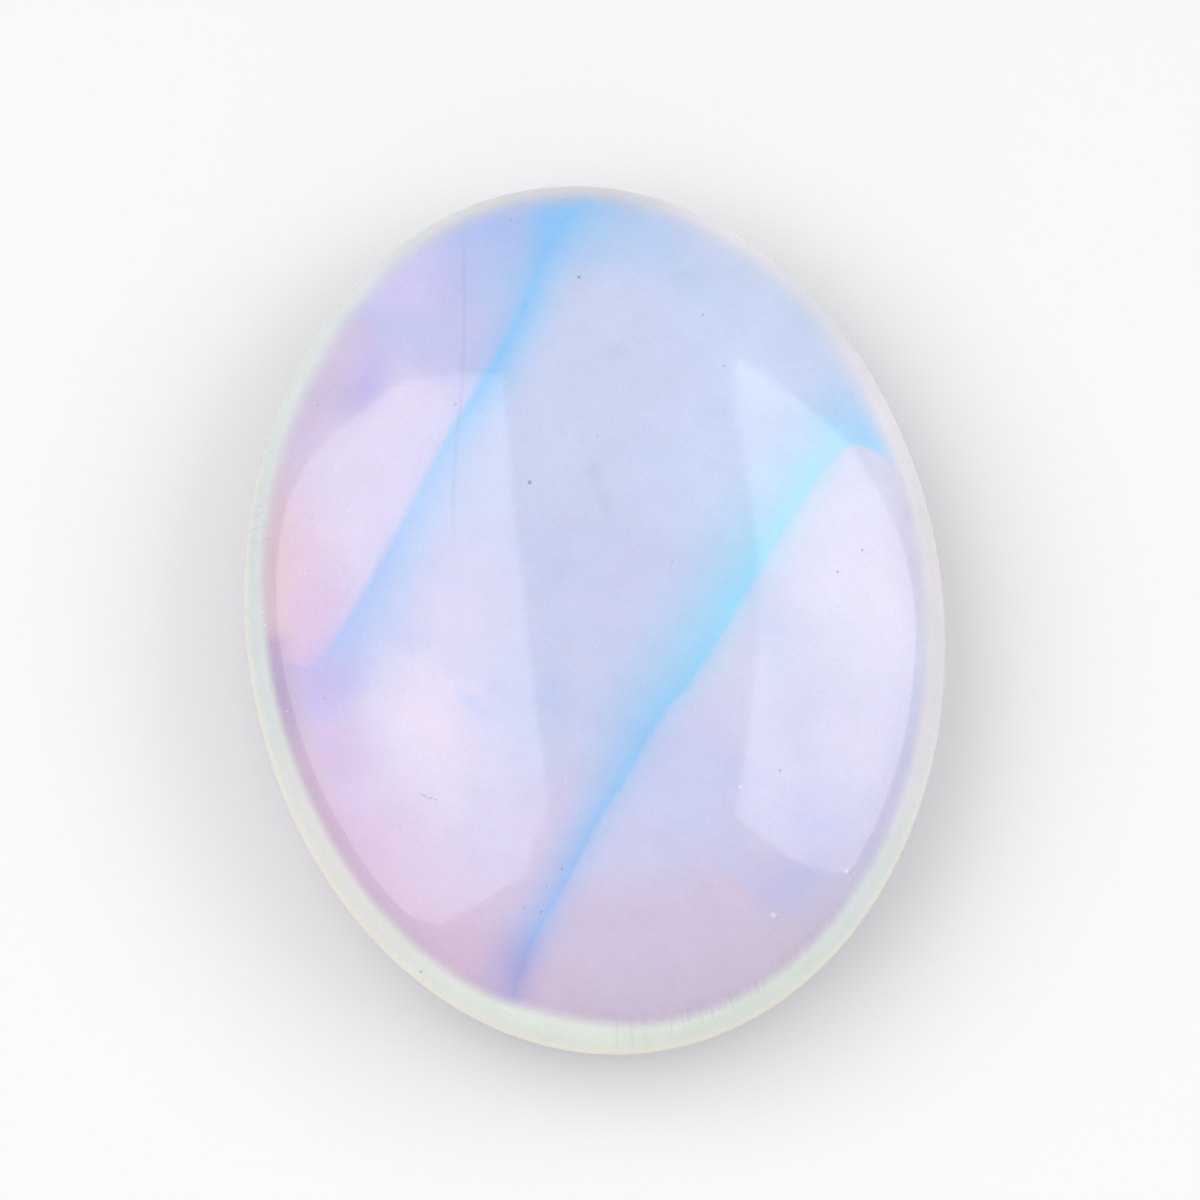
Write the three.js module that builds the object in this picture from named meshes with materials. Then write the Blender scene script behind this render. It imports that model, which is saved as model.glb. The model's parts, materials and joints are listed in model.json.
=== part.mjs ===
// Palm stone of milky opalescent glass, one polished piece. The two faces are shallow domes, the
// rim between them is rounded more tightly, and a small flat spot is ground under the lower dome
// for it to rest on. Millimetres, +Z up through the thickness, +Y along the oval, and the rest
// spot's centre at the origin.
import * as THREE from 'three';

const LENGTH = 60;
const WIDTH = 47.4;
const RIM_RADIUS = 4.4;
const DOME_EDGE_SLOPE = THREE.MathUtils.degToRad(24);
const REST_SPOT_RADIUS = 4.0;

const RIM_STEPS = 8;
const DOME_STEPS = 11;
const STEPS_AROUND = 64;

// The half profile across the short axis, from the widest point up to the crown: a rim arc, then
// a dome arc that carries on from it with no corner. A slope is measured from the horizontal, so
// it is 90 degrees at the widest point and 0 at the crown.
const rimCentre = [WIDTH / 2 - RIM_RADIUS, 0];
const domeEdge = arcPoint(rimCentre, RIM_RADIUS, DOME_EDGE_SLOPE);
const domeRadius = domeEdge[0] / Math.sin(DOME_EDGE_SLOPE);
const domeCentre = [0, domeEdge[1] - domeRadius * Math.cos(DOME_EDGE_SLOPE)];
const restSpotSlope = Math.asin(REST_SPOT_RADIUS / domeRadius);
const midHeight = arcPoint(domeCentre, domeRadius, restSpotSlope)[1];

function arcPoint(centre, radius, slope) {
  return [centre[0] + radius * Math.sin(slope), centre[1] + radius * Math.cos(slope)];
}

// Points of one arc from a steeper slope to a shallower one, without its first point.
function arc(centre, radius, fromSlope, toSlope, steps) {
  const points = [];
  for (let i = 1; i <= steps; i += 1) {
    points.push(arcPoint(centre, radius, THREE.MathUtils.lerp(fromSlope, toSlope, i / steps)));
  }
  return points;
}

// One half of the profile, from the widest point to a given slope near the axis.
function halfProfile(lastSlope) {
  return [
    ...arc(rimCentre, RIM_RADIUS, Math.PI / 2, DOME_EDGE_SLOPE, RIM_STEPS),
    ...arc(domeCentre, domeRadius, DOME_EDGE_SLOPE, lastSlope, DOME_STEPS),
  ];
}

// The whole profile from the rest spot's centre, out under the lower dome, round the rim and back
// over the upper dome to the axis.
function stoneProfile() {
  const lower = halfProfile(restSpotSlope).reverse();
  const upper = halfProfile(0);
  return [
    new THREE.Vector2(0, 0),
    ...lower.map(([r, z]) => new THREE.Vector2(r, midHeight - z)),
    new THREE.Vector2(WIDTH / 2, midHeight),
    ...upper.map(([r, z]) => new THREE.Vector2(r, midHeight + z)),
  ];
}

// Every level is an ellipse. Inside the rim the domes are scaled along the oval, and from the
// dome's edge outwards the extra length is constant, so the rim keeps one width all round.
function stretchAlongOval(geometry) {
  const extra = (LENGTH - WIDTH) / 2;
  const position = geometry.attributes.position;
  for (let i = 0; i < position.count; i += 1) {
    const y = position.getY(i);
    const r = Math.hypot(position.getX(i), y);
    if (r > 0) {
      position.setY(i, (y * (r + extra * Math.min(1, r / domeEdge[0]))) / r);
    }
  }
  position.needsUpdate = true;
}

function stoneGeometry() {
  const geometry = new THREE.LatheGeometry(stoneProfile(), STEPS_AROUND);
  geometry.rotateX(Math.PI / 2);
  stretchAlongOval(geometry);
  geometry.computeVertexNormals();
  return geometry;
}

const opalGlass = new THREE.MeshStandardMaterial({
  name: 'opal_glass',
  color: new THREE.Color(0.63, 0.66, 0.84),
  roughness: 0.08,
  metalness: 0,
});

const stone = new THREE.Mesh(stoneGeometry(), opalGlass);
stone.name = 'stone';

const palmStone = new THREE.Group();
palmStone.name = 'palm_stone';
palmStone.add(stone);

export default palmStone;
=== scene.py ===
"""A palm stone of milky opalescent glass on a pale table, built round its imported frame.

Lengths are metres in the frame's own axes: +Y along the oval, +X across it, +Z up through the
thickness, and the centre of the small flat spot that the stone rests on at the origin. Patterns
in the glass are laid out in millimetres in the same axes.
"""
import json
import math

import bpy
from bpy.props import FloatProperty, FloatVectorProperty, IntProperty, PointerProperty
from mathutils import Euler, Matrix, Vector

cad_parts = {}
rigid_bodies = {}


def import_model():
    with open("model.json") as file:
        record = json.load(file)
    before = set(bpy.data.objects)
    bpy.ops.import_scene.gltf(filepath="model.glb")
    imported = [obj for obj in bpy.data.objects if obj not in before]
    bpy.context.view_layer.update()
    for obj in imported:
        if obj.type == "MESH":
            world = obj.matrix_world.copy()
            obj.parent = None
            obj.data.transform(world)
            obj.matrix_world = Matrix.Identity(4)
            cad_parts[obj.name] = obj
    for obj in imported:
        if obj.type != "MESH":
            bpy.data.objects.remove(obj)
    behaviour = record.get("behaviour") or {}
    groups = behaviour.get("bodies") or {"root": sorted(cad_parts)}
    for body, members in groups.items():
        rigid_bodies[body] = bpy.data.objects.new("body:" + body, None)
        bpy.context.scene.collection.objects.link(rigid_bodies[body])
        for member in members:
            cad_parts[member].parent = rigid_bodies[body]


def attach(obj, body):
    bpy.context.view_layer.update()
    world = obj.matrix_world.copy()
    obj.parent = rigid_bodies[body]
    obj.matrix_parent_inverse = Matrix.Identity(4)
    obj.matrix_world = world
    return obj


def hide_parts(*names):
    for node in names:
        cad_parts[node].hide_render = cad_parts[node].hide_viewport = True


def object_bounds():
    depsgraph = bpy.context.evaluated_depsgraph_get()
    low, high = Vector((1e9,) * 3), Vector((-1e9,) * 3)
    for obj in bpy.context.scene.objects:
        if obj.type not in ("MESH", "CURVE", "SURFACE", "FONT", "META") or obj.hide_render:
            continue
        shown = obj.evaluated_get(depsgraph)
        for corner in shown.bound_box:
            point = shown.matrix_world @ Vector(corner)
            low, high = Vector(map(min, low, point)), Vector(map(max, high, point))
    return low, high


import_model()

bl_info = {
    "name": "Palm Stone",
    "version": (1, 0, 0),
    "blender": (4, 5, 0),
    "location": "View3D > Sidebar > Palm Stone",
    "description": "Models and finishes an oval palm stone of milky opalescent glass",
    "category": "Object",
}

MM = 0.001
CAD_LOW, CAD_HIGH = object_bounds()
LENGTH = CAD_HIGH.y - CAD_LOW.y
WIDTH = CAD_HIGH.x - CAD_LOW.x
THICKNESS = CAD_HIGH.z - CAD_LOW.z

# A face this low is part of the rest spot, and this many halvings find a level of the dome.
ON_TABLE = 0.01 * MM
HALVINGS = 30

# The rim's painted glow reaches up to where its rounding slopes this many degrees.
RIM_EDGE_SLOPE = 40
GLASS_IOR = 1.5


def srgb(red, green, blue):
    """A display colour from 0 to 255 as the linear colour that shaders take."""
    def linear(level):
        level = level / 255
        return level / 12.92 if level <= 0.04045 else ((level + 0.055) / 1.055) ** 2.4
    return (linear(red), linear(green), linear(blue))


def swatch(name, description, red, green, blue):
    return FloatVectorProperty(
        name=name, description=description, default=srgb(red, green, blue),
        min=0, max=1, size=3, subtype="COLOR")


class StoneShape(bpy.types.PropertyGroup):
    """The stone's rounding, beside the length, width and thickness that the frame gives."""

    rim_radius: FloatProperty(
        name="Rim radius", description="Radius of the rounded rim in cross section",
        default=4.4 * MM, min=1 * MM, max=8 * MM, unit="LENGTH")
    dome_edge_slope: FloatProperty(
        name="Dome edge slope", description="Slope of the dome where it meets the rim's rounding",
        default=math.radians(24), min=math.radians(8), max=math.radians(45), subtype="ANGLE")
    rest_spot_radius: FloatProperty(
        name="Rest spot radius", description="Half width of the flat spot under the stone",
        default=4 * MM, min=1 * MM, max=10 * MM, unit="LENGTH")
    dome_steps: IntProperty(
        name="Dome steps", description="Rows of faces from the rim's rounding to the crown",
        default=26, min=8, max=60)
    rim_steps: IntProperty(
        name="Rim steps", description="Rows of faces in each half of the rim's rounding",
        default=22, min=6, max=40)
    steps_around: IntProperty(
        name="Steps around", description="Faces in each row",
        default=256, min=64, max=512)


class GlassColours(bpy.types.PropertyGroup):
    """Colours of the milky glass: its three zones, clouds and flaws, the painted shade of its
    streaks and of a strip inside the rim, and the painted light of its rim.
    """

    left_crest: swatch("Left crest", "Left zone, top end", 164, 180, 226)
    left_upper: swatch("Left upper", "Left zone, upper part", 183, 186, 224)
    left_main: swatch("Left main", "Left zone, most of it", 204, 195, 222)
    left_foot: swatch("Left foot", "Left zone, bottom end", 203, 189, 219)
    heart_upper: swatch("Heart upper", "Middle zone, upper part", 191, 198, 225)
    heart_main: swatch("Heart main", "Middle zone, most of it", 188, 194, 222)
    heart_lower: swatch("Heart lower", "Middle zone, lower part", 198, 190, 219)
    heart_foot: swatch("Heart foot", "Middle zone, bottom end", 202, 185, 211)
    right_main: swatch("Right main", "Right zone, upper part", 206, 209, 230)
    right_middle: swatch("Right middle", "Right zone, middle", 201, 203, 226)
    right_lower: swatch("Right lower", "Right zone, lower part", 194, 194, 223)
    right_foot: swatch("Right foot", "Right zone, bottom end", 198, 184, 209)
    sky: swatch("Sky", "Pale blue at the upper right", 190, 204, 231)
    light_sky: swatch("Light sky", "Paler blue below it", 200, 212, 238)
    deep_sky: swatch("Deep sky", "Stronger blue at the top", 160, 192, 229)
    cornflower: swatch("Cornflower", "Violet blue left of the left streak's top", 170, 184, 228)
    amethyst: swatch("Amethyst", "Light violet at the upper left", 198, 190, 230)
    mauve: swatch("Mauve", "Dull pink along the upper left edge", 197, 180, 208)
    rose: swatch("Rose", "Pink at the left edge", 210, 178, 198)
    violet: swatch("Violet", "Patch where the left streak ends", 171, 166, 223)
    pale_lilac: swatch("Pale lilac", "Light cloud at the lower left", 213, 201, 224)
    orchid: swatch("Orchid", "Pink along the lower left edge", 205, 185, 213)
    pearl: swatch("Pearl", "Nearly white lavender at the right edge", 214, 211, 232)
    lavender: swatch("Lavender", "Cloud at the lower right", 189, 193, 226)
    iris: swatch("Iris", "Violet cloud at the lower right", 179, 183, 224)
    smoke: swatch("Smoke", "Faint dark smudges near the middle", 168, 172, 202)
    wisp: swatch("Wisp", "Faint bluish wisps across the lower half", 172, 187, 227)
    heather: swatch("Heather", "Pinkish violet below the violet patch", 197, 171, 209)
    # Painted shade: the dusk colours below darken a strip just inside the lower half of the rim.
    shade_strip_left: swatch("Dusk left", "Strip inside the rim, at the left", 205, 183, 195)
    shade_strip_deep: swatch("Dusk deep", "Its darkest part, below the left", 179, 161, 192)
    shade_strip_plum: swatch("Dusk plum", "The strip at the lower left", 196, 173, 195)
    shade_strip_pink: swatch("Dusk pink", "The strip left of the foot", 199, 177, 201)
    shade_strip_foot: swatch("Dusk foot", "The strip at the foot", 191, 178, 199)
    shade_strip_right: swatch("Dusk right", "The strip right of the foot", 194, 182, 200)
    shade_strip_blue: swatch("Dusk blue", "The strip at the lower right", 193, 190, 217)
    # Painted shade: the streak colours below stand for the dark gaps between fingers under the
    # stone, seen through the milky glass as blue. The thread takes the lower end's violet too.
    gap_shade_crest: swatch("Streak crest", "Top of the left streak", 130, 185, 233)
    gap_shade_azure: swatch("Streak azure", "Upper part of the left streak", 136, 188, 233)
    gap_shade_blue: swatch("Streak blue", "Middle of both streaks", 155, 190, 231)
    gap_shade_aqua: swatch("Streak aqua", "Top of the right streak", 162, 214, 236)
    gap_shade_lobe_blue: swatch("Lobe blue", "Where the right streak bends over the lobe", 157, 204, 242)
    gap_shade_clear: swatch("Streak clear", "Middle of the right streak", 147, 206, 238)
    gap_shade_strong: swatch("Streak strong", "Below the middle of the right streak", 141, 188, 230)
    gap_shade_periwinkle: swatch("Streak periwinkle", "Lower part of both", 152, 180, 228)
    gap_shade_and_thread_violet: swatch("Streak violet", "Lower end of the right streak", 151, 155, 206)
    gap_shade_heather: swatch("Streak heather", "Lower end of the left streak", 178, 166, 213)
    # Painted light: the rim colours below, with the cream line, stand for light glowing through the
    # rounded rim and pale surroundings reflected inside it.
    rim_glow_foot: swatch("Rim at the foot", "Mint rim at the bottom end", 222, 230, 220)
    rim_glow_foot_right: swatch("Rim right of the foot", "Dimmer mint rim", 215, 222, 215)
    rim_glow_lower_left: swatch("Rim at the lower left", "Pale grey rim", 218, 218, 216)
    rim_glow_left: swatch("Rim at the left", "Greenish grey rim", 205, 212, 211)
    rim_glow_upper_left: swatch("Rim at the upper left", "Bluish grey rim", 214, 218, 219)
    rim_glow_top: swatch("Rim at the top", "Dusky rim at the top end", 201, 200, 208)
    rim_glow_high: swatch("Rim right of the top", "Whiter rim", 224, 222, 230)
    rim_glow_upper_right: swatch("Rim at the upper right", "Bluish rim", 212, 214, 224)
    rim_glow_right: swatch("Rim at the right", "Pinkish grey rim", 220, 216, 222)
    rim_glow_lower_right: swatch("Rim at the lower right", "Greenish white rim", 212, 220, 219)
    rim_glow_cream: swatch("Rim cream", "Outermost line of the rim", 242, 234, 212)
    grit: swatch("Grit", "Dark specks and grinding marks", 96, 100, 128)
    bubble: swatch("Bubble", "Pale specks just under the surface", 240, 240, 240)


class StudioSettings(bpy.types.PropertyGroup):
    """Floor, lamps and camera."""

    floor_colour: FloatVectorProperty(
        name="Floor colour", description="Colour of the plain pale table",
        default=(0.82, 0.82, 0.82), min=0, max=1, size=3, subtype="COLOR")
    air_light: FloatProperty(
        name="Air light", description="Strength of the even light from all round",
        default=0.715, min=0, max=4)
    lamp_light: FloatProperty(
        name="Lamp light", description="Radiance of the two softboxes",
        default=1.75, min=0, max=20)
    camera_azimuth: FloatProperty(
        name="Camera azimuth", description="Turn of the camera round the stone, 0 from the -Y end",
        default=math.radians(-12.4), subtype="ANGLE")
    camera_elevation: FloatProperty(
        name="Camera elevation", description="Height of the camera above the horizon",
        default=math.radians(79.16), subtype="ANGLE")
    camera_roll: FloatProperty(
        name="Camera roll", description="Lean of the stone's long axis to the left in the picture",
        default=math.radians(7.22), subtype="ANGLE")
    camera_distance: FloatProperty(
        name="Camera distance", description="From the middle of the stone to the lens",
        default=400 * MM, unit="LENGTH")
    field_width: FloatProperty(
        name="Field width", description="Width of the picture at the middle of the stone",
        default=81.47 * MM, unit="LENGTH")


def deselect_all():
    for thing in bpy.context.view_layer.objects.selected:
        thing.select_set(False)


class Profile:
    """Half the stone's cross section: a rim arc, and a dome arc that carries on from it."""

    def __init__(self, shape):
        self.shape = shape
        self.rim_centre = (WIDTH / 2 - shape.rim_radius, 0)
        self.edge = self.arc_point(self.rim_centre, shape.rim_radius, shape.dome_edge_slope)
        self.dome_radius = self.edge[0] / math.sin(shape.dome_edge_slope)
        self.dome_centre = (0, self.edge[1] - self.dome_radius * math.cos(shape.dome_edge_slope))
        self.rest_slope = math.asin(shape.rest_spot_radius / self.dome_radius)
        self.middle = self.arc_point(self.dome_centre, self.dome_radius, self.rest_slope)[1]

    def arc_point(self, centre, radius, slope):
        """The point of an arc where the surface slopes by that much from the horizontal."""
        return (centre[0] + radius * math.sin(slope), centre[1] + radius * math.cos(slope))

    def half(self, last_slope):
        """Levels (radius, height over the middle) from the widest to a slope near the axis."""
        edge_slope = self.shape.dome_edge_slope
        levels = []
        for step in range(self.shape.rim_steps):
            slope = math.pi / 2 + (edge_slope - math.pi / 2) * step / self.shape.rim_steps
            levels.append(self.arc_point(self.rim_centre, self.shape.rim_radius, slope))
        for step in range(self.shape.dome_steps + 1):
            slope = edge_slope + (last_slope - edge_slope) * step / self.shape.dome_steps
            levels.append(self.arc_point(self.dome_centre, self.dome_radius, slope))
        return levels

    def levels(self):
        """All levels (radius, height) from the rest spot's edge, round the rim, to the crown."""
        below = [(radius, self.middle - height) for radius, height in self.half(self.rest_slope)]
        above = [(radius, self.middle + height) for radius, height in self.half(0)]
        return below[::-1] + above[1:]

    def half_length(self, radius):
        """Half length of the level with that half width: scaled in the domes, offset in the rim."""
        return radius + (LENGTH - WIDTH) / 2 * min(1, radius / self.edge[0])

    def top_height(self, x, y):
        """Height of the upper face at a place inside the oval, found by halving its level."""
        low, high = 0, WIDTH / 2
        for _ in range(HALVINGS):
            radius = (low + high) / 2
            if (x / radius) ** 2 + (y / self.half_length(radius)) ** 2 < 1:
                high = radius
            else:
                low = radius
        if radius < self.edge[0]:
            above = self.dome_centre[1] + math.sqrt(self.dome_radius ** 2 - radius ** 2)
        else:
            above = math.sqrt(self.shape.rim_radius ** 2 - (radius - self.rim_centre[0]) ** 2)
        return self.middle + above


def model_stone(shape):
    """Extrudes the rest spot's outline level by level up to the crown."""
    profile = Profile(shape)
    levels = profile.levels()
    deselect_all()
    bpy.ops.mesh.primitive_circle_add(
        vertices=shape.steps_around, radius=levels[0][0], fill_type="TRIFAN", location=(0, 0, 0))
    stone = bpy.context.object
    stone.name = "polished_stone"
    stone.data.name = "polished_stone"
    bpy.ops.object.mode_set(mode="EDIT")
    bpy.ops.mesh.select_mode(type="EDGE")
    bpy.ops.transform.resize(value=(1, profile.half_length(levels[0][0]) / levels[0][0], 1))
    bpy.ops.mesh.select_all(action="DESELECT")
    bpy.ops.mesh.select_non_manifold(extend=False)
    for (radius, height), (next_radius, next_height) in zip(levels, levels[1:]):
        bpy.ops.mesh.extrude_edges_move(
            TRANSFORM_OT_translate={"value": (0, 0, next_height - height)})
        if next_radius > 0:
            along = profile.half_length(next_radius) / profile.half_length(radius)
            bpy.ops.transform.resize(
                value=(next_radius / radius, along, 1), center_override=(0, 0, next_height))
    bpy.ops.mesh.merge(type="CENTER")
    bpy.ops.mesh.select_all(action="SELECT")
    bpy.ops.mesh.normals_make_consistent(inside=False)
    bpy.ops.mesh.select_all(action="DESELECT")
    bpy.ops.object.mode_set(mode="OBJECT")
    for face in stone.data.polygons:
        face.select = face.center.z < ON_TABLE
    bpy.ops.object.mode_set(mode="EDIT")
    bpy.ops.mesh.region_to_loop()
    bpy.ops.mesh.mark_sharp()
    bpy.ops.mesh.select_all(action="DESELECT")
    bpy.ops.object.mode_set(mode="OBJECT")
    bpy.ops.object.shade_smooth()
    return stone


class Recipe:
    """Lays out shader nodes; each step returns the socket that the next one takes."""

    def __init__(self, tree):
        self.tree = tree

    def add(self, kind, **settings):
        node = self.tree.nodes.new(kind)
        for name, value in settings.items():
            setattr(node, name, value)
        return node

    def feed(self, sockets, values):
        for socket, value in zip(sockets, values):
            if isinstance(value, bpy.types.NodeSocket):
                self.tree.links.new(value, socket)
            else:
                socket.default_value = value

    def math(self, operation, *values, clamp=False):
        node = self.add("ShaderNodeMath", operation=operation, use_clamp=clamp)
        self.feed(node.inputs, values)
        return node.outputs[0]

    def product(self, first, *others):
        for other in others:
            first = self.math("MULTIPLY", first, other)
        return first

    def vector(self, operation, *values):
        node = self.add("ShaderNodeVectorMath", operation=operation)
        self.feed(node.inputs, values)
        return node.outputs["Value" if operation in ("LENGTH", "DISTANCE") else "Vector"]

    def scaled(self, vector, factor):
        node = self.add("ShaderNodeVectorMath", operation="SCALE")
        self.feed((node.inputs[0], node.inputs["Scale"]), (vector, factor))
        return node.outputs[0]

    def combine(self, *values):
        node = self.add("ShaderNodeCombineXYZ")
        self.feed(node.inputs, values)
        return node.outputs[0]

    def separate(self, vector):
        node = self.add("ShaderNodeSeparateXYZ")
        self.feed(node.inputs, (vector,))
        return node.outputs

    def placed(self, vector, middle=(0, 0), lean=0, half=(1, 1)):
        """Plane coordinates about a middle, turned to a lean and counted in half widths."""
        node = self.add("ShaderNodeMapping", vector_type="TEXTURE")
        self.feed(node.inputs, (vector, (*middle, 0), (0, 0, math.radians(lean)), (*half, 1)))
        return node.outputs[0]

    def fade(self, value, start, end, low=0.0, high=1.0, shape="SMOOTHSTEP"):
        """From low to high as the value goes from start to end."""
        node = self.add("ShaderNodeMapRange", interpolation_type=shape)
        self.feed(node.inputs, (value, start, end, low, high))
        return node.outputs[0]

    def curve(self, value, points, straight=False):
        """A smooth or straight-sided curve through points of (value, result)."""
        starts, results = zip(*points)
        first, last, low, high = starts[0], starts[-1], min(results), max(results)
        places = [((start - first) / (last - first), (result - low) / (high - low))
                  for start, result in points]
        node = self.add("ShaderNodeFloatCurve")
        line = node.mapping.curves[0]
        line.points[0].location = places[0]
        line.points[1].location = places[-1]
        for place in places[1:-1]:
            line.points.new(*place)
        if straight:
            for point in line.points:
                point.handle_type = "VECTOR"
        node.mapping.update()
        share = self.fade(value, first, last, shape="LINEAR")
        self.feed((node.inputs["Value"],), (share,))
        return self.fade(node.outputs[0], 0, 1, low, high, shape="LINEAR")

    def mix(self, amount, first, second):
        node = self.add("ShaderNodeMix", data_type="RGBA")
        self.feed((node.inputs[0], node.inputs[6], node.inputs[7]), (amount, first, second))
        return node.outputs[2]

    def ramp(self, value, first, last, stops):
        """A soft colour ramp whose stops are (value, colour) between first and last."""
        node = self.add("ShaderNodeValToRGB")
        node.color_ramp.interpolation = "EASE"
        elements = node.color_ramp.elements
        while len(elements) < len(stops):
            elements.new(1)
        for element, (place, colour) in zip(elements, stops):
            element.position = (place - first) / (last - first)
            element.color = colour
        self.feed(node.inputs, (self.fade(value, first, last, shape="LINEAR"),))
        return node.outputs[0]

    def lines(self, value, places, half_width):
        """1 on each of the places and 0 from that half width beside them."""
        first, last = places[0] - 3 * half_width, places[-1] + 3 * half_width
        stops = [(place + side * half_width, (1 - abs(side),) * 3 + (1,))
                 for place in places for side in (-1, 0, 1)]
        return self.ramp(value, first, last, stops)

    def noise(self, vector, scale, detail=2.0, roughness=0.5, output="Fac"):
        node = self.add("ShaderNodeTexNoise")
        sockets = [node.inputs[name] for name in ("Vector", "Scale", "Detail", "Roughness")]
        self.feed(sockets, (vector, scale, detail, roughness))
        return node.outputs[output]

    def cells(self, vector, scale):
        node = self.add("ShaderNodeTexVoronoi")
        self.feed((node.inputs["Vector"], node.inputs["Scale"]), (vector, scale))
        return node.outputs["Distance"], node.outputs["Color"]


# The two blue streaks are painted shade: dark gaps between fingers under the stone, seen through
# the glass.
# The streaks lean this many degrees from the long axis. Lane counts millimetres across them and
# along counts up them, and each list holds (along, lane), (along, width) or (along, amount).
GAP_SHADE_LEAN = 36
LEFT_GAP_SHADE_LINE = ((-14.4, -17.5), (-13.9, -16.2), (-13.5, -15.2), (-12.8, -14), (-10, -13.55),
                    (-4, -13.45), (1, -13.58), (5, -13.68), (9, -13.6), (14, -13.8),
                    (17, -14.25), (20, -14.75), (24, -14.6))
LEFT_GAP_SHADE_LEFT_WIDTH = ((-15, 1.5), (-9, 3.2), (-4, 2.8), (6, 3.6), (14, 2.6), (24, 3))
LEFT_GAP_SHADE_RIGHT_WIDTH = ((-15, 5.5), (-9, 6.3), (-6, 5.2), (0, 4.1), (14, 3.9), (17, 4.2),
                           (20, 5.6), (24, 5.8))
LEFT_GAP_SHADE_AMOUNT = ((-17.4, 0), (-14, 0.84), (-8, 0.88), (0, 0.9), (7, 1), (24, 1))
RIGHT_GAP_SHADE_LINE = ((-26, 8.1), (-24, 7.6), (-21.5, 7.35), (-18, 7.4), (-14, 7.3), (-10, 7.5),
                     (-6, 7.55), (-2, 8.15), (1, 8.3), (5, 8.4), (8, 8.45), (11, 8.6), (14, 8.7),
                     (17, 9.2))
RIGHT_GAP_SHADE_LEFT_WIDTH = ((-26, 4.2), (-22, 3.4), (-18, 2.7), (-14, 2.9), (-10, 4), (-6, 5.1),
                           (-2, 5.9), (5, 6.2), (11, 5), (17, 4.4))

# The power by which each side of a streak fades, and the distances from its line between which
# the share that falls steeply does so.
LEFT_GAP_SHADE_POWER = 2
LEFT_GAP_SHADE_STEEP = (0.15, 0.75)
RIGHT_GAP_SHADE_LEFT_POWER = 1.5
RIGHT_GAP_SHADE_RIGHT_POWER = 2.3
RIGHT_GAP_SHADE_STEEP = (0.05, 0.45)

# At its top the right streak bends over a rounded lobe, placed by (x, y). The lobe's outline is
# a circle at a power of 2, and its shoulders are flatter below that.
LOBE_MIDDLE = (18.8, 5.9)
LOBE_RADIUS = 2.8
LOBE_POWER = 1.6
LOBE_FADE = 6

# How far down the inner edge of the rim's painted glow is moved, at angles from +X. Below 0 it
# is moved up, and the glow is wider there.
RIM_GLOW_NARROWER = ((-180, 0.12), (-150, 0.1), (-130, 0.12), (-110, 0.03), (-102, -0.12),
                (-95, -0.03), (-85, 0.1), (-70, 0.15), (-45, 0.08), (0, 0.03), (17, -0.1),
                (28, -0.2), (40, -0.12), (52, 0), (140, 0), (160, 0.12), (180, 0.12))

# Colour ramps, each with its first and last value and then its stops. The left zone and the
# painted shade of the streaks go by along, the other two zones by Y, and the painted shade of
# the strip and the painted light of the rim by angle from +X.
LEFT_ZONE = (-15, 22, (
    (-13, "left_foot"), (-6, "left_main"), (5.5, "left_main"), (10.5, "left_upper"),
    (14, "left_upper"), (20, "left_crest")))
HEART_ZONE = (-28, 28, (
    (-22, "heart_foot"), (-15, "heart_lower"), (-8, "heart_main"), (2, "heart_main"),
    (12, "heart_upper")))
RIGHT_ZONE = (-28, 28, (
    (-22, "right_foot"), (-16, "right_lower"), (-11, "right_lower"), (-5, "right_middle"),
    (5, "right_main")))
LEFT_GAP_SHADE_COLOURS = (-18, 24, (
    (-15, "gap_shade_heather"), (-9, "gap_shade_periwinkle"), (2, "gap_shade_blue"), (11, "gap_shade_azure"),
    (17, "gap_shade_azure"), (20, "gap_shade_crest")))
RIGHT_GAP_SHADE_COLOURS = (-26, 20, (
    (-24.5, "gap_shade_and_thread_violet"), (-20, "gap_shade_periwinkle"), (-8, "gap_shade_strong"),
    (4, "gap_shade_clear"), (14, "gap_shade_aqua"), (17, "gap_shade_aqua"), (19.5, "gap_shade_lobe_blue")))
SHADE_STRIP_COLOURS = (-180, 180, (
    (-180, "shade_strip_deep"), (-171, "shade_strip_deep"), (-157, "shade_strip_plum"), (-125, "shade_strip_pink"),
    (-108, "shade_strip_pink"), (-94, "shade_strip_foot"), (-84, "shade_strip_foot"), (-70, "shade_strip_right"),
    (-45, "shade_strip_blue"), (0, "shade_strip_blue"), (120, "shade_strip_left"), (177, "shade_strip_left"),
    (180, "shade_strip_deep")))
RIM_GLOW_COLOURS = (-180, 180, (
    (-179, "rim_glow_left"), (-142, "rim_glow_lower_left"), (-97, "rim_glow_foot"), (-72, "rim_glow_foot_right"),
    (-58, "rim_glow_lower_right"), (-25, "rim_glow_right"), (0, "rim_glow_right"), (28, "rim_glow_high"),
    (45, "rim_glow_upper_right"), (64, "rim_glow_high"), (80, "rim_glow_top"), (124, "rim_glow_upper_left"),
    (165, "rim_glow_left")))

# The clouds are laid on a plane that wanders by up to half of this to each side, and the wisps
# among them are broken up by fibres that lean by so many degrees.
WANDER = 3
FIBRE_LEAN = -30

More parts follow.
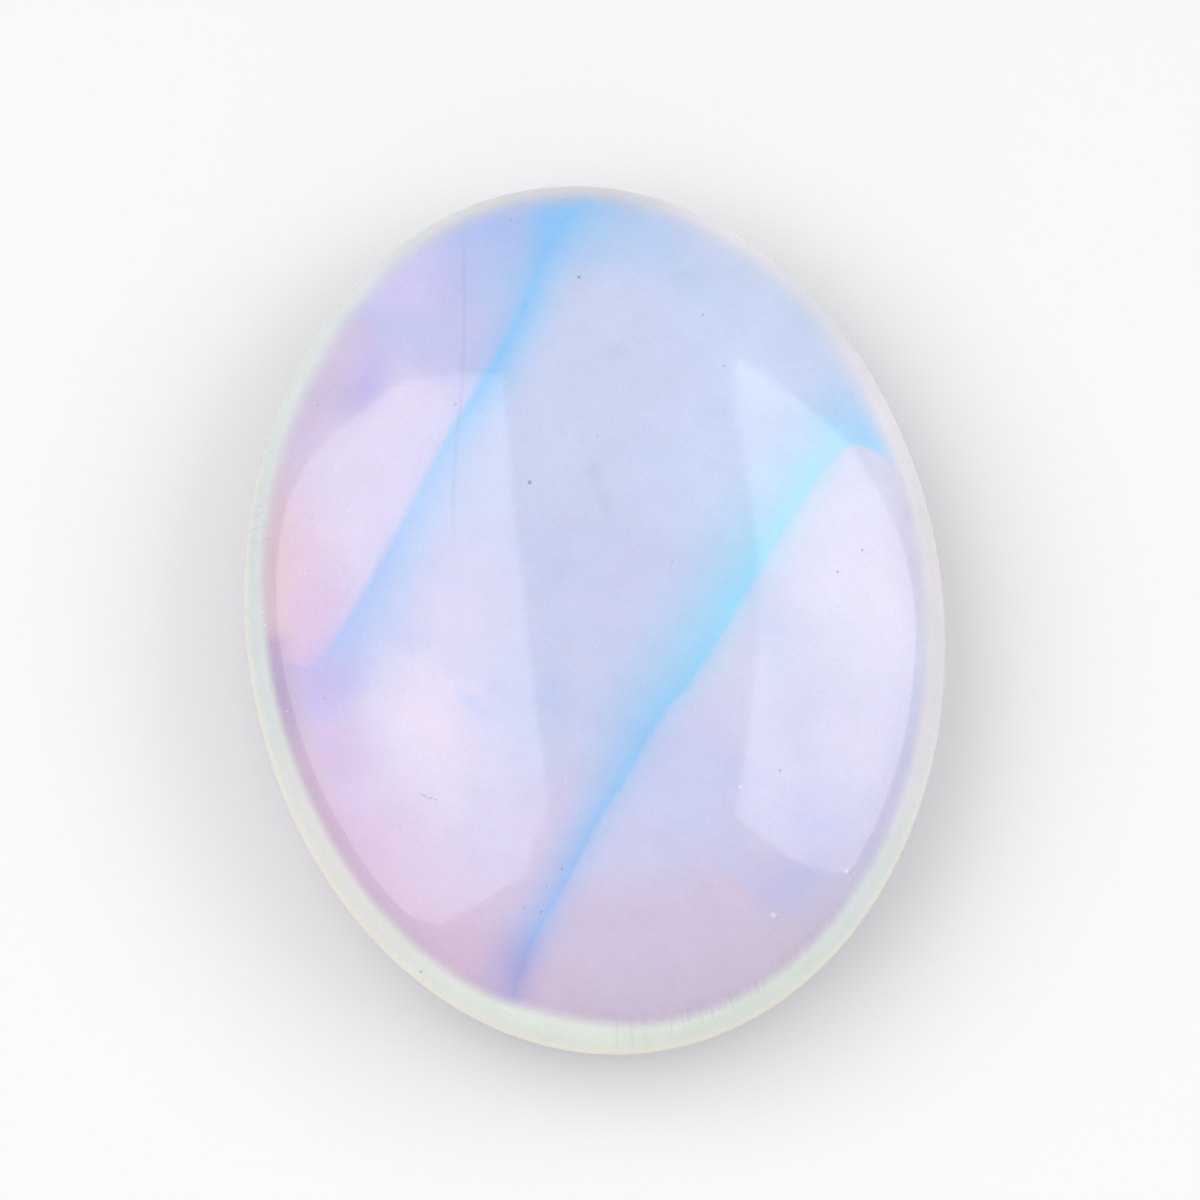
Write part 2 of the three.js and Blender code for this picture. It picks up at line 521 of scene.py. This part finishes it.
# Each cloud's colour, middle, half widths, lean of the first one from +X, and strength.
CLOUDS = (
    ("sky", (14, 16), (15, 10), -45, 1.0),
    ("deep_sky", (9, 21.5), (3.8, 3.3), 0, 0.35),
    ("deep_sky", (6.3, 24), (3.4, 3), 0, 0.3),
    ("deep_sky", (4.5, 26.5), (9, 6), -12, 0.6),
    ("sky", (9.5, 7.5), (9, 8.5), 0, 1.0),
    ("light_sky", (12.3, 14), (4.6, 3.8), -35, 0.55),
    ("deep_sky", (-3.2, 23), (3.6, 6), 0, 0.6),
    ("gap_shade_crest", (0, 26.9), (2.6, 2.2), 0, 0.9),
    ("left_main", (-9, 1), (6, 6), 0, 0.7),
    ("pale_lilac", (-12.5, -7.5), (7.5, 11), 0, 1.0),
    ("orchid", (-16, -15.5), (14, 6.5), -54, 1.0),
    ("heather", (-18.8, -7.5), (5, 5.8), 8, 0.85),
    ("heather", (-18.4, -13.5), (3.4, 6), 25, 0.6),
    ("violet", (-19.2, -2.9), (4.6, 4.2), 0, 1.0),
    ("rose", (-22, 3.5), (7.6, 13), 0, 1.0),
    ("heather", (-17.4, 1.8), (4.2, 4.6), 0, 0.45),
    ("amethyst", (-9.8, 24), (5.4, 4.8), 0, 0.9),
    ("mauve", (-17, 15.5), (9, 4), 59, 0.9),
    ("mauve", (-14.2, 20.6), (3.6, 2.6), 55, 0.5),
    ("violet", (-13.6, 16.9), (4, 2.8), 55, 0.6),
    ("cornflower", (-5.3, 24.3), (4.4, 4), 0, 0.55),
    ("pearl", (18.5, -1.5), (6, 12), 0, 1.0),
    ("orchid", (21.5, 1.5), (2.6, 8), 0, 0.35),
    ("pearl", (16.3, -11.8), (5, 4.8), 0, 0.6),
    ("pearl", (9.2, -12), (3.6, 6), 0, 0.45),
    ("heart_main", (12, -3), (2.8, 6.5), 0, 0.75),
    ("lavender", (4.5, -13), (7, 6), 0, 0.7),
    ("iris", (12.3, -20.8), (6.4, 4), 30, 0.95),
    ("smoke", (0.9, 7.9), (1.0, 1.3), 0, 0.25),
    ("smoke", (1.4, 6.1), (0.8, 1.6), 15, 0.2),
    ("smoke", (0.6, 10.6), (1.0, 1.5), 0, 0.15),
    ("smoke", (3.1, 16.6), (1.2, 1.2), 0, 0.2),
    ("smoke", (3.4, -17.4), (3.4, 1.3), -35, 0.15),
)
WISPS = (
    ("wisp", (-10.5, 3.2), (5, 1.7), -25, 0.3),
    ("wisp", (-2.5, 2.6), (4.5, 2.2), -28, 0.35),
    ("wisp", (-13.0, -1.2), (5, 2), -30, 0.35),
    ("wisp", (-9.0, -5.8), (4.5, 2.4), -25, 0.55),
    ("wisp", (-3.8, -6.2), (2.4, 3.4), -10, 0.55),
    ("wisp", (8.0, -13.0), (4, 1.6), -25, 0.4),
    ("wisp", (13.6, -17.0), (5, 2.2), -35, 0.4),
    ("iris", (7.8, -19.6), (4.5, 1.9), -35, 0.7),
)

# Specks, each (x, y, radius) in millimetres.
DARK_SPECKS = ((-3.5, 8.0, 0.15), (1.6, 22.2, 0.13), (18.2, 1.3, 0.1), (16.3, -0.1, 0.1),
               (-6.2, -20.5, 0.1), (-4.5, -17.9, 0.09), (-14.6, -23.0, 0.13), (9.6, 18.6, 0.1),
               (10.5, 14.8, 0.09), (10.7, -13.1, 0.1), (14.6, -20.1, 0.08), (9.3, -22.6, 0.06))
PALE_SPECKS = ((7.9, -13.9, 0.13), (14.4, -20.0, 0.2), (9.1, -22.4, 0.24), (-15.7, 8.0, 0.11),
               (-19.1, 4.3, 0.08), (-22.2, 1.4, 0.14), (-22.3, 3.7, 0.1), (-22.3, 2.3, 0.1),
               (-21.4, -4.7, 0.09), (-11.6, 5.6, 0.08))

# One dark thread as (y, x), and one short scratch.
THREAD_LINE = ((3.4, -9.2), (8.9, -8.5), (16.5, -7.0), (25.3, -5.9))
SCRATCH_MIDDLE = (-12.7, -12.0)
SCRATCH_LEAN = -28
SCRATCH_HALF = (0.85, 0.1)

# Grinding lines across the rim: their angle from +X at the foot of the stone, right across the
# band or only at its inner edge, and the places and lean of those at its left side.
LONG_FOOT_LINES = (-94.2, -92.4, -90.5)
SHORT_FOOT_LINES = (-87.1, -84.6, -82.7, -81.2, -78.4, -74.4)
LEFT_LINES = (2.9, 3.85, 4.85, 5.35)
LEFT_LINES_LEAN = 0.2

# How strongly the flaws are tinted, the depth of the relief in millimetres, how much lighter and
# darker mottles and grains make the glass, and how many of each pattern fit in a millimetre.
DARK_STRENGTH = 0.6
PALE_STRENGTH = 0.4
LINE_STRENGTH = 0.2
PIT_DEPTH = 0.02
LINE_DEPTH = 0.006
WAVE_DEPTH = 0.006
MOTTLE_TONE = 0.02
GRAIN_TONE = 0.022
GRIT_PER_MM = 0.55
WAVES_PER_MM = 0.3
SMEARS_PER_MM = 0.8
MOTTLES_PER_MM = 0.35
GRAINS_PER_MM = 5

# How much X counts beside Y in how far a place is from the lower left.
LOWER_LEFT_LEAN = 0.6


def opaque(colour):
    return (*colour, 1)


def shades(glass, colours, value, ramp):
    """The soft colours of one of the ramps above, whose stops name a colour each."""
    first, last, stops = ramp
    return glass.ramp(value, first, last,
                      [(stop, opaque(getattr(colours, name))) for stop, name in stops])


class Place:
    """Where a point of the glass lies, in millimetres and degrees: in space, seen from above,
    by its height over the widest level and the same up or down, by its angle from +X, and by
    how far it is from the lower left. right_half fades where the foot's marks are fainter."""

    def __init__(self, glass, shape):
        self.profile = Profile(shape)
        self.rim_edge = shape.rim_radius / MM * math.cos(math.radians(RIM_EDGE_SLOPE))
        self.solid = glass.scaled(glass.add("ShaderNodeTexCoord").outputs["Object"], 1 / MM)
        self.x, self.y, z = glass.separate(self.solid)
        self.flat = glass.combine(self.x, self.y, 0)
        self.height = glass.math("SUBTRACT", z, self.profile.middle / MM)
        self.level = glass.math("ABSOLUTE", self.height)
        self.angle = glass.math("DEGREES", glass.math("ARCTAN2", self.y, self.x))
        self.lower_left = glass.math("MULTIPLY_ADD", self.x, LOWER_LEFT_LEAN, self.y)
        self.right_half = glass.fade(self.x, -6, 1, 0.2, 1)


def gap_shade_strength(glass, offset, left, right):
    """1 on the line of a streak of painted shade. Each side fades out over a width by a power,
    and a share of it falls steeply instead, from one distance to another."""
    def side(distance, width, power, share=0, start=0, end=1):
        tail = glass.math("SUBTRACT", 1, glass.math("DIVIDE", distance, width), clamp=True)
        tail = glass.math("POWER", tail, power)
        steeper = glass.math("SUBTRACT", glass.fade(distance, end, start), tail)
        return glass.math("MULTIPLY_ADD", steeper, share, tail)
    past_left = side(glass.math("MULTIPLY", offset, -1), *left)
    return glass.math("MINIMUM", past_left, side(offset, *right))


def left_gap_shade(glass, lane, along):
    """Painted shade of the left streak, and how far right of its line a place is."""
    offset = glass.math("SUBTRACT", lane, glass.curve(along, LEFT_GAP_SHADE_LINE))
    steep_share = glass.fade(along, 14, 9, 0.1, 0.65)
    left_side = (glass.curve(along, LEFT_GAP_SHADE_LEFT_WIDTH), LEFT_GAP_SHADE_POWER,
                 steep_share, *LEFT_GAP_SHADE_STEEP)
    right_side = (glass.curve(along, LEFT_GAP_SHADE_RIGHT_WIDTH), LEFT_GAP_SHADE_POWER)
    amount = gap_shade_strength(glass, offset, left_side, right_side)
    return glass.product(amount, glass.curve(along, LEFT_GAP_SHADE_AMOUNT)), offset


def right_gap_shade(glass, lane, along):
    """Painted shade of the right streak below its bend, and how far right of its line a place is.
    """
    offset = glass.math("SUBTRACT", lane, glass.curve(along, RIGHT_GAP_SHADE_LINE))
    steep_share = glass.fade(along, -23, -17, 0, 0.35)
    left_side = (glass.curve(along, RIGHT_GAP_SHADE_LEFT_WIDTH), RIGHT_GAP_SHADE_LEFT_POWER)
    right_side = (glass.fade(along, 8, 14, 2.9, 2.2), RIGHT_GAP_SHADE_RIGHT_POWER,
                  steep_share, *RIGHT_GAP_SHADE_STEEP)
    amount = gap_shade_strength(glass, offset, left_side, right_side)
    ends = glass.fade(along, 18, 16), glass.fade(along, -27, -23.5, 0.6, 1)
    return glass.product(amount, *ends), offset


def gap_shade_over_lobe(glass, flat, along):
    """Painted shade of the right streak bent over the lobe, and 1 outside the lobe up there."""
    beside, above, _ = glass.separate(glass.vector("SUBTRACT", flat, (*LOBE_MIDDLE, 0)))
    aside = glass.math("POWER", glass.math("ABSOLUTE", beside), LOBE_POWER)
    upward = glass.math("POWER", glass.math("MAXIMUM", above, 0), LOBE_POWER)
    away = glass.math("POWER", glass.math("ADD", aside, upward), 1 / LOBE_POWER)
    beyond = glass.math("SUBTRACT", away, LOBE_RADIUS)
    outside = glass.product(glass.fade(beyond, -0.3, 0.3), glass.fade(along, 14.6, 16))
    amount = glass.product(outside, glass.fade(beyond, LOBE_FADE, 0, shape="LINEAR"),
                           glass.fade(above, -0.5, 2.7), glass.fade(beside, -7, -1, 0.15, 1))
    return amount, outside


def clouded(glass, colours, body, plane, clouds, texture=1.0):
    """The body with soft elliptical clouds over it."""
    for name, middle, half, lean, strength in clouds:
        away = glass.vector("LENGTH", glass.placed(plane, middle, lean, half))
        amount = glass.product(glass.fade(away, 1, 0, 0, strength), texture)
        body = glass.mix(amount, body, opaque(getattr(colours, name)))
    return body


def milky_body(glass, colours, flat):
    """The glass seen through its faces: three zones parted by two streaks of painted shade,
    clouds and wisps. Also gives the right streak's amount and colour, for it runs on over the
    strip of painted shade inside the rim."""
    drift = glass.noise(flat, 0.12, detail=1, output="Color")
    drift = glass.vector("MULTIPLY_ADD", drift, (WANDER, WANDER, 0), (-WANDER / 2, -WANDER / 2, 0))
    plane = glass.vector("ADD", flat, drift)
    _, up, _ = glass.separate(plane)
    lane, along, _ = glass.separate(glass.placed(flat, lean=-GAP_SHADE_LEAN))
    left, left_offset = left_gap_shade(glass, lane, along)
    right, right_offset = right_gap_shade(glass, lane, along)
    bend, outside_lobe = gap_shade_over_lobe(glass, flat, along)
    right = glass.math("MAXIMUM", right, bend)

    body = glass.mix(glass.fade(left_offset, 1, -0.4), shades(glass, colours, up, HEART_ZONE),
                     shades(glass, colours, along, LEFT_ZONE))
    right_side = glass.math(
        "SUBTRACT", glass.fade(right_offset, -0.6, 1), outside_lobe, clamp=True)
    body = glass.mix(right_side, body, shades(glass, colours, up, RIGHT_ZONE))
    body = clouded(glass, colours, body, plane, CLOUDS)
    fibres = glass.noise(glass.placed(plane, lean=FIBRE_LEAN, half=(3, 1.2)), 1, detail=1)
    body = clouded(glass, colours, body, plane, WISPS, glass.fade(fibres, 0.25, 0.7))
    warmth = glass.product(glass.fade(fibres, 0.3, 0.7, -0.013, 0.013),
                           glass.fade(up, 12, -12, 0.4, 1))
    body = glass.vector("MULTIPLY", body, glass.combine(glass.math("ADD", warmth, 1), 1, 1))
    body = glass.mix(left, body, shades(glass, colours, along, LEFT_GAP_SHADE_COLOURS))
    return body, right, shades(glass, colours, along, RIGHT_GAP_SHADE_COLOURS)


def painted_shade_strip(glass, colours, body, place):
    """Painted shade: a darker strip just inside the lower half of the rim."""
    start = glass.fade(place.y, -12, -22, place.rim_edge + 1.2, place.rim_edge + 2.1)
    strip = glass.product(glass.fade(place.level, start, place.rim_edge + 0.4, 0, 0.85),
                          glass.fade(place.lower_left, 3, -6))
    return glass.mix(strip, body, shades(glass, colours, place.angle, SHADE_STRIP_COLOURS))


def rim_glow_band(glass, colours, body, place):
    """Painted light: the paler glow of the rim, with its cream outline."""
    rim_glow = shades(glass, colours, place.angle, RIM_GLOW_COLOURS)
    cream = glass.fade(place.level, 2.3, 0.6, 0, glass.fade(place.lower_left, -8, 8, 0.6, 0.15))
    rim_glow = glass.mix(cream, rim_glow, opaque(colours.rim_glow_cream))
    comb = glass.noise(glass.combine(place.angle, 0, 0), 1.3, detail=3, roughness=0.7)
    at_foot = glass.product(glass.fade(place.y, -10, -24), place.right_half)
    comb = glass.product(glass.fade(comb, 0.3, 0.7, -0.03, 0.03), at_foot)
    softness = glass.math("SUBTRACT", glass.fade(place.y, -5, 25, 0.42, 0.85),
                          glass.fade(place.x, -12, -20, 0, 0.12))
    narrower = glass.curve(place.angle, RIM_GLOW_NARROWER)
    level = glass.math("ADD", glass.math("ADD", place.level, comb), narrower)
    start = glass.math("ADD", softness, place.rim_edge)
    end = glass.math("SUBTRACT", place.rim_edge, softness)
    return glass.mix(glass.fade(level, start, end), body, rim_glow)


def spots(glass, place, specks, inner, full_size):
    """Round spots on the upper face, 1 up to inner times their radius and fainter where they are
    under full size."""
    together = 0.0
    for x, y, radius in specks:
        top = place.profile.top_height(x * MM, y * MM) / MM
        away = glass.vector("DISTANCE", place.solid, (x, y, top))
        strength = min(1, radius / full_size)
        spot = glass.fade(away, radius * 1.3, radius * inner, 0, strength)
        together = glass.math("MAXIMUM", spot, together)
    return together


def scattered_grit(glass, place):
    """Grit too fine to place, in some of the cells of a net over the upper face."""
    away, kind = glass.cells(place.flat, GRIT_PER_MM)
    chance, depth, _ = glass.separate(kind)
    return glass.product(glass.fade(away, 0.075, 0.03), glass.fade(chance, 0.55, 0.6), depth,
                         glass.fade(place.height, 3, 3.5))


def thread(glass, place):
    """One dark thread near the top left, down the stone."""
    aside = glass.math("SUBTRACT", place.x, glass.curve(place.y, THREAD_LINE))
    aside = glass.math("ABSOLUTE", aside)
    return glass.product(glass.fade(aside, 0.25, 0.03, 0, 0.2), glass.fade(place.y, 3, 8),
                         glass.fade(place.y, 27, 24))


def scratch(glass, place):
    """One short broken scratch at the lower left."""
    stroke = glass.placed(place.flat, SCRATCH_MIDDLE, SCRATCH_LEAN, SCRATCH_HALF)
    broken = glass.fade(glass.noise(place.flat, 3), 0.4, 0.6)
    return glass.product(glass.fade(glass.vector("LENGTH", stroke), 1, 0.5), broken,
                         glass.fade(place.height, 0, 1))


def flaws(glass, colours, body, place):
    """Specks, grit and bubbles, one thread and one scratch, all no more than a hair across. Also
    gives where the polish is pitted."""
    dark = spots(glass, place, DARK_SPECKS, inner=0.5, full_size=0.15)
    pale = spots(glass, place, PALE_SPECKS, inner=0.1, full_size=0.05)
    for faint in (scattered_grit, scratch):
        dark = glass.math("MAXIMUM", dark, glass.product(faint(glass, place), 0.5))
    # The thread shares its violet with the painted shade at the right streak's lower end.
    body = glass.mix(thread(glass, place), body, opaque(colours.gap_shade_and_thread_violet))
    body = glass.mix(glass.product(dark, DARK_STRENGTH), body, opaque(colours.grit))
    body = glass.mix(glass.product(pale, PALE_STRENGTH), body, opaque(colours.bubble))
    return body, dark


def grinding_marks(glass, colours, body, place):
    """Fine lines left square across the rim, at the foot of the stone and at its left."""
    long_lines = glass.product(glass.lines(place.angle, LONG_FOOT_LINES, 0.3),
                               glass.fade(place.height, 0.8, 1.4))
    short_lines = glass.product(glass.lines(place.angle, SHORT_FOOT_LINES, 0.25),
                                glass.fade(place.height, 2.3, 2.8))
    foot = glass.product(glass.math("MAXIMUM", long_lines, short_lines),
                         glass.fade(place.height, 3.9, 3.3, 0, 0.6))
    left = glass.math("MULTIPLY_ADD", place.x, LEFT_LINES_LEAN, place.y)
    left = glass.product(glass.lines(left, LEFT_LINES, 0.09), glass.fade(place.x, -20.9, -21.4),
                         glass.fade(place.height, 1.2, 2))
    broken = glass.noise(glass.combine(place.x, place.y, place.height), 2.5)
    amount = glass.product(glass.math("MAXIMUM", foot, left), glass.fade(broken, 0.35, 0.55))
    body = glass.mix(glass.product(amount, LINE_STRENGTH), body, opaque(colours.grit))

    fringe = glass.combine(place.angle, glass.product(place.height, 0.4), 0)
    fringe = glass.noise(fringe, 1.8, detail=3, roughness=0.7)
    at_edge = glass.product(glass.fade(place.height, 2.2, 3), glass.fade(place.height, 4.2, 3.6),
                            glass.fade(place.y, -18, -25), place.right_half)
    tone = glass.math("MULTIPLY_ADD", glass.fade(fringe, 0.3, 0.7, -0.03, 0.03), at_edge, 1)
    return glass.scaled(body, tone), amount


def polish(glass, shader, place, pits, lines):
    """Gloss a little uneven and duller on the rim, faint waves, pits and ground lines."""
    smears = glass.vector("MULTIPLY", place.solid, (0.5, 0.8, 1))
    smears = glass.noise(smears, SMEARS_PER_MM, detail=4)
    roughness = glass.fade(smears, 0.35, 0.7, 0.035, 0.075)
    on_rim = glass.fade(place.level, place.rim_edge + 0.5, place.rim_edge - 0.5, 0, 0.07)
    dull = glass.product(glass.math("MAXIMUM", pits, lines), 0.3)
    roughness = glass.math("ADD", glass.math("ADD", roughness, on_rim), dull)
    waves = glass.product(glass.noise(place.solid, WAVES_PER_MM, detail=1), WAVE_DEPTH)
    relief = glass.math("MULTIPLY_ADD", pits, -PIT_DEPTH, waves)
    relief = glass.math("MULTIPLY_ADD", lines, -LINE_DEPTH, relief)
    bump = glass.add("ShaderNodeBump")
    glass.feed((bump.inputs["Strength"], bump.inputs["Distance"], bump.inputs["Height"]),
               (1, MM, relief))
    glass.feed((shader.inputs["Roughness"], shader.inputs["Normal"]), (roughness, bump.outputs[0]))


def opal_glass(colours, shape):
    """Milky opalescent glass: clouds and fine flaws, with painted shade in two blue streaks and in
    a strip inside the rim, and painted light in the paler rim.
    """
    material = bpy.data.materials.new("opal_glass")
    material.use_nodes = True
    shader = material.node_tree.nodes["Principled BSDF"]
    glass = Recipe(material.node_tree)
    place = Place(glass, shape)

    body, streak, gap_shade_colour = milky_body(glass, colours, place.flat)
    # Painted shade: a darker strip just inside the lower half of the rim.
    body = painted_shade_strip(glass, colours, body, place)
    # Painted shade: the right blue streak, laid over the strip inside the rim.
    body = glass.mix(streak, body, gap_shade_colour)
    # Painted light: the paler glow of the rim.
    body = rim_glow_band(glass, colours, body, place)
    body, pits = flaws(glass, colours, body, place)
    body, lines = grinding_marks(glass, colours, body, place)
    mottle = glass.noise(place.solid, MOTTLES_PER_MM, detail=4, roughness=0.6)
    grain = glass.noise(place.solid, GRAINS_PER_MM, detail=2)
    tone = glass.math("ADD", glass.fade(mottle, 0.3, 0.7, -MOTTLE_TONE, MOTTLE_TONE),
                      glass.fade(grain, 0.25, 0.75, -GRAIN_TONE, GRAIN_TONE))
    body = glass.scaled(body, glass.math("ADD", tone, 1))
    glass.feed((shader.inputs["Base Color"], shader.inputs["IOR"]), (body, GLASS_IOR))

    polish(glass, shader, place, pits, lines)
    return material


class PALM_OT_stone(bpy.types.Operator):
    """Model the polished stone and give it its milky glass"""

    bl_idname = "palm.stone"
    bl_label = "Stone"

    def execute(self, context):
        shape = context.scene.palm_shape
        stone = model_stone(shape)
        stone.data.materials.append(opal_glass(context.scene.palm_colours, shape))
        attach(stone, "root")
        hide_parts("stone")
        return {"FINISHED"}


FLOOR_SIZE = 3
FLOOR_ROUGHNESS = 0.9

# How far right of the stone's middle and above it in the picture the camera is aimed.
AIM_RIGHT = 0.36 * MM
AIM_UP = 1.03 * MM
SENSOR_WIDTH = 36
NEAREST_SEEN = 10 * MM

# How far the lamps are, and over how many millimetres their sides and their ends fade out.
LAMP_DISTANCE = 550 * MM
LAMP_FEATHER = 16
LAMP_END_FEATHER = 4

# A softbox's middle (azimuth from +X, elevation), where it faces (the same, then its roll) and
# its half sizes. Its lit face runs from its left side to its right one, each a list of
# (up, across) corners in millimetres from its middle.
LEFT_SOFTBOX = {
    "name": "left_softbox",
    "middle": (178.3, 63.7),
    "facing": (135.8, 37.2, 230.8),
    "half": (300, 360),
    "left": ((-345, 80), (-310, -100), (-270, -210), (-235, -265), (-185, -285), (200, -235),
             (250, -200), (280, -100), (310, 45)),
    "right": ((-345, 80), (-335, 105), (-300, 120), (-260, 175), (290, 180), (310, 45)),
}
RIGHT_SOFTBOX = {
    "name": "right_softbox",
    "middle": (-6.4, 53.7),
    "facing": (47.3, 23.0, 302.2),
    "half": (310, 360),
    "left": ((-350, -90), (-340, -120), (20, -105), (130, -105), (270, -130), (315, -130)),
    "right": ((-350, -90), (-345, 15), (-285, 140), (-260, 285), (-185, 280), (-120, 270),
              (-25, 230), (70, 210), (150, 165), (225, 150), (245, 60), (290, -15), (315, -130)),
}


def facing(azimuth, elevation, roll):
    """A turn whose local Z points that way, with azimuth from +X towards +Y."""
    aim = Euler((0, math.radians(90 - elevation), math.radians(azimuth)), "XYZ").to_matrix()
    return (aim @ Matrix.Rotation(math.radians(roll), 3, "Z")).to_4x4()


def way_to(azimuth, elevation):
    """The direction of a place at that azimuth from +X and elevation, both in radians."""
    level = math.cos(elevation)
    return Vector((level * math.cos(azimuth), level * math.sin(azimuth), math.sin(elevation)))


def add_softbox(box, radiance):
    """An area lamp whose lit face is cut to an outline with soft edges."""
    azimuth, elevation = box["middle"]
    way = way_to(math.radians(azimuth), math.radians(elevation))
    deselect_all()
    bpy.ops.object.light_add(
        type="AREA", location=way * LAMP_DISTANCE + Vector((0, 0, THICKNESS / 2)))
    lamp = bpy.context.object
    lamp.name = box["name"]
    lamp.rotation_euler = facing(*box["facing"]).to_euler()
    lamp.data.shape = "RECTANGLE"
    lamp.data.size = 2 * box["half"][0] * MM
    lamp.data.size_y = 2 * box["half"][1] * MM
    lamp.data.energy = radiance * math.pi * lamp.data.size * lamp.data.size_y
    lamp.data.use_nodes = True
    face = Recipe(lamp.data.node_tree)
    across, up, _ = face.separate(face.add("ShaderNodeNewGeometry").outputs["Parametric"])
    across = face.fade(across, 0, 1, -box["half"][0], box["half"][0], shape="LINEAR")
    up = face.fade(up, 0, 1, -box["half"][1], box["half"][1], shape="LINEAR")
    past_left = face.math("SUBTRACT", across, face.curve(up, box["left"], straight=True))
    short_of_right = face.math("SUBTRACT", face.curve(up, box["right"], straight=True), across)
    inside = face.math("MINIMUM", past_left, short_of_right)
    lit = face.fade(inside, -LAMP_FEATHER / 2, LAMP_FEATHER / 2)
    lowest, highest = box["left"][0][0], box["left"][-1][0]
    lit = face.product(lit, face.fade(up, lowest, lowest + LAMP_END_FEATHER),
                       face.fade(up, highest, highest - LAMP_END_FEATHER))
    face.feed((lamp.data.node_tree.nodes["Emission"].inputs["Strength"],), (lit,))


def add_floor(colour):
    deselect_all()
    bpy.ops.mesh.primitive_plane_add(size=FLOOR_SIZE, location=(0, 0, 0))
    floor = bpy.context.object
    floor.name = "pale_table"
    paint = bpy.data.materials.new("pale_table")
    paint.use_nodes = True
    shader = paint.node_tree.nodes["Principled BSDF"]
    shader.inputs["Base Color"].default_value = opaque(colour)
    shader.inputs["Roughness"].default_value = FLOOR_ROUGHNESS
    floor.data.materials.append(paint)


def add_camera(studio, middle):
    """A camera aimed a little beside the stone's middle, rolled so that the stone leans left."""
    away = way_to(studio.camera_azimuth - math.pi / 2, studio.camera_elevation)
    forward = -away
    long_axis = (Vector((0, 1, 0)) - forward * forward.y).normalized()
    across = forward.cross(long_axis)
    up = long_axis * math.cos(studio.camera_roll) + across * math.sin(studio.camera_roll)
    right = forward.cross(up)
    aim = Vector((0, 0, middle)) + right * AIM_RIGHT + up * AIM_UP
    deselect_all()
    bpy.ops.object.camera_add(location=aim + away * studio.camera_distance)
    camera = bpy.context.object
    camera.name = "camera"
    camera.rotation_euler = Matrix((right, up, away)).transposed().to_euler()
    camera.data.sensor_width = SENSOR_WIDTH
    camera.data.lens = SENSOR_WIDTH * studio.camera_distance / studio.field_width
    camera.data.clip_start = NEAREST_SEEN
    return camera


class PALM_OT_studio(bpy.types.Operator):
    """Set out the pale table, the two softboxes and the camera"""

    bl_idname = "palm.studio"
    bl_label = "Studio"

    def execute(self, context):
        studio = context.scene.palm_studio
        add_floor(studio.floor_colour)
        add_softbox(LEFT_SOFTBOX, studio.lamp_light)
        add_softbox(RIGHT_SOFTBOX, studio.lamp_light)
        world = bpy.data.worlds.new("soft_air")
        world.use_nodes = True
        air = world.node_tree.nodes["Background"]
        air.inputs["Color"].default_value = (1, 1, 1, 1)
        air.inputs["Strength"].default_value = studio.air_light
        context.scene.world = world
        middle = Profile(context.scene.palm_shape).middle
        context.scene.camera = add_camera(studio, middle)
        context.scene.view_settings.view_transform = "Standard"
        return {"FINISHED"}


class PALM_PT_sidebar(bpy.types.Panel):
    bl_label = "Palm Stone"
    bl_idname = "PALM_PT_sidebar"
    bl_space_type = "VIEW_3D"
    bl_region_type = "UI"
    bl_category = "Palm Stone"

    def draw(self, context):
        for operator in OPERATORS:
            self.layout.operator(operator.bl_idname)
        for group in SETTINGS:
            settings = getattr(context.scene, group)
            for name in settings.__annotations__:
                self.layout.prop(settings, name)


OPERATORS = (PALM_OT_stone, PALM_OT_studio)
SETTINGS = {"palm_shape": StoneShape, "palm_colours": GlassColours, "palm_studio": StudioSettings}
CLASSES = (*SETTINGS.values(), *OPERATORS, PALM_PT_sidebar)


def register():
    for entry in CLASSES:
        bpy.utils.register_class(entry)
    for name, group in SETTINGS.items():
        setattr(bpy.types.Scene, name, PointerProperty(type=group))


def unregister():
    for name in SETTINGS:
        delattr(bpy.types.Scene, name)
    for entry in reversed(CLASSES):
        bpy.utils.unregister_class(entry)


def main():
    register()
    bpy.ops.palm.stone()
    bpy.ops.palm.studio()


if __name__ == "__main__":
    main()
